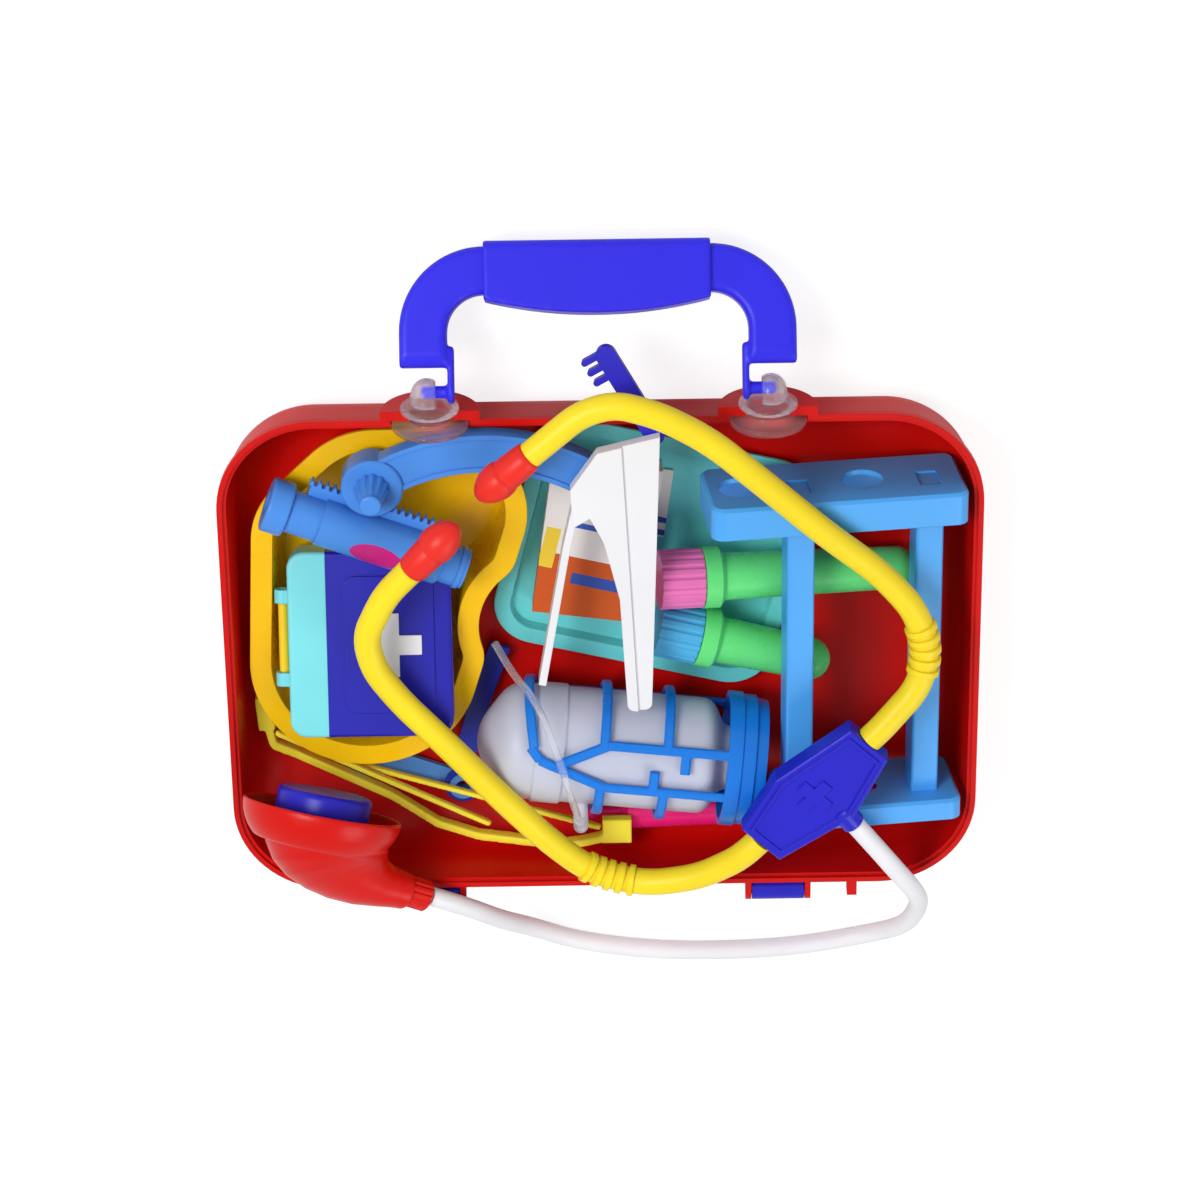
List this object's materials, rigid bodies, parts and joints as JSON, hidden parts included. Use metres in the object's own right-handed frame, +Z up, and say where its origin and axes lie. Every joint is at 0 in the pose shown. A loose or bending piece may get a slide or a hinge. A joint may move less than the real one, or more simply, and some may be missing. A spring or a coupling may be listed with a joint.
{
  "type": "toy doctor case",
  "caption": "Open half of a moulded toy doctor case with a swivel carrying handle, latches and a jumble of play medical instruments lying in it.",
  "frame": {"origin": "centre of the flat back of the tub, on the table plane", "axes": "+Z up out of the open tub, +Y towards the carrying handle, +X to the right seen from the latch side"},
  "size_m": [0.302, 0.3371, 0.0834],
  "materials": {
    "red_shell": "glossy moulded polypropylene",
    "clear": "clear moulded plastic",
    "handle_blue": "satin moulded plastic",
    "latch_blue": "satin moulded plastic",
    "dish_yellow": "glossy moulded plastic",
    "box_navy": "glossy moulded plastic",
    "lid_cyan": "glossy moulded plastic",
    "loop_yellow": "satin moulded plastic",
    "scope_blue": "glossy moulded plastic",
    "foot_white": "glossy moulded plastic",
    "tray_teal": "glossy moulded plastic",
    "card": "printed coated card",
    "rack_blue": "glossy moulded plastic",
    "tube_green": "glossy moulded plastic",
    "cap_pink": "satin moulded plastic",
    "cap_blue": "satin moulded plastic",
    "bottle": "frosted translucent plastic",
    "cage_blue": "glossy moulded plastic",
    "clear_tubing": "clear flexible vinyl",
    "glasses_yellow": "satin moulded plastic",
    "scissor_blue": "satin moulded plastic",
    "scissor_navy": "satin moulded plastic",
    "syringe_pink": "glossy moulded plastic",
    "rake_blue": "satin moulded plastic",
    "ear_yellow": "soft blow-moulded vinyl",
    "tip_red": "soft moulded vinyl",
    "hub_blue": "glossy moulded plastic",
    "hose_white": "soft vinyl hose",
    "bell_red": "glossy moulded plastic",
    "diaphragm_blue": "glossy moulded plastic"
  },
  "bodies": {
    "case": {"bottle_cage": "cage_blue", "card_box": "card", "case_shell": "red_shell", "chest_collar": "bell_red", "chest_diaphragm": "diaphragm_blue", "chest_shell_lower": "bell_red", "chest_shell_upper": "bell_red", "ear_tip_left": "tip_red", "ear_tip_right": "tip_red", "ear_tube_left": "ear_yellow", "ear_tube_right": "ear_yellow", "glasses_frame": "glasses_yellow", "glasses_temple_left": "glasses_yellow", "glasses_temple_right": "glasses_yellow", "hub_back_shell": "hub_blue", "hub_front_shell": "hub_blue", "infusion_bottle": "bottle", "infusion_tubing": "clear_tubing", "instrument_tray": "tray_teal", "kidney_dish": "dish_yellow", "microscope_arm": "scope_blue", "microscope_base": "foot_white", "mini_box_body": "box_navy", "mini_box_lid": "lid_cyan", "rack_base_plate": "rack_blue", "rack_post_left": "rack_blue", "rack_post_right": "rack_blue", "rack_top_plate": "rack_blue", "rake_tool": "rake_blue", "scissors_blade_a": "scissor_blue", "scissors_rivet": "scissor_blue", "stethoscope_hose": "hose_white", "swivel_mount_left": "clear", "swivel_mount_right": "clear", "syringe_barrel": "syringe_pink", "test_tube_lower": "tube_green", "test_tube_upper": "tube_green"},
    "handle": {"handle_bow": "handle_blue", "handle_grip": "handle_blue"},
    "latch_left_body": {"latch_left": "latch_blue"},
    "latch_right_body": {"latch_right": "latch_blue"},
    "scope_tube": {"microscope_tube": "scope_blue", "microscope_eyepiece": "scope_blue", "microscope_objective": "scope_blue"},
    "scope_knob": {"focus_knob": "scope_blue"},
    "plunger": {"syringe_plunger": "syringe_pink"},
    "mini_handle": {"mini_box_handle": "loop_yellow"},
    "scissor_arm": {"scissors_blade_b": "scissor_navy"},
    "cap_upper": {"tube_cap_upper": "cap_pink"},
    "cap_lower": {"tube_cap_lower": "cap_blue"}
  },
  "joints": [
    {"name": "handle_swing", "type": "hinge", "parent": "case", "child": "handle", "pos_m": [0, 0.1186, 0.038], "axis": [1, 0, 0], "range_deg": [0, 112]},
    {"name": "latch_left_turn", "type": "hinge", "parent": "case", "child": "latch_left_body", "pos_m": [-0.071, -0.1135, 0.03], "axis": [-1, 0, 0], "range_deg": [0, 75]},
    {"name": "latch_right_turn", "type": "hinge", "parent": "case", "child": "latch_right_body", "pos_m": [0.071, -0.1135, 0.03], "axis": [-1, 0, 0], "range_deg": [0, 150]},
    {"name": "focus_slide", "type": "slide", "parent": "case", "child": "scope_tube", "axis": [0.9298, -0.3681, 0], "range_m": [-0.006, 0.006]},
    {"name": "focus_knob_turn", "type": "hinge", "parent": "case", "child": "scope_knob", "pos_m": [-0.0893, 0.07876, 0.04], "axis": [0, 0, 1], "range_deg": [-43.5, 43.5]},
    {"name": "plunger_slide", "type": "slide", "parent": "case", "child": "plunger", "axis": [0.9992, 0.0406, 0], "range_m": [-0.018, 0]},
    {"name": "mini_handle_swing", "type": "hinge", "parent": "case", "child": "mini_handle", "pos_m": [-0.1276, 0.00505, 0.02981], "axis": [0, 0.9613, -0.2756], "range_deg": [0, 8]},
    {"name": "scissors_open", "type": "hinge", "parent": "case", "child": "scissor_arm", "pos_m": [-0.0584, -0.0748, 0.008], "axis": [0, 0, 1], "range_deg": [0, 8]},
    {"name": "cap_upper_twist", "type": "hinge", "parent": "case", "child": "cap_upper", "pos_m": [0.0228, 0.0296, 0.0278], "axis": [0.9887, -0.0342, -0.1461], "range_deg": [-90, 90]},
    {"name": "cap_lower_twist", "type": "hinge", "parent": "case", "child": "cap_lower", "pos_m": [0.0218, 0.0055, 0.022], "axis": [0.9625, -0.2681, -0.0412], "range_deg": [-90, 90]}
  ],
  "couplings": [
    {"joint": "focus_knob_turn", "follows": "focus_slide", "rad_per_m": 125}
  ]
}
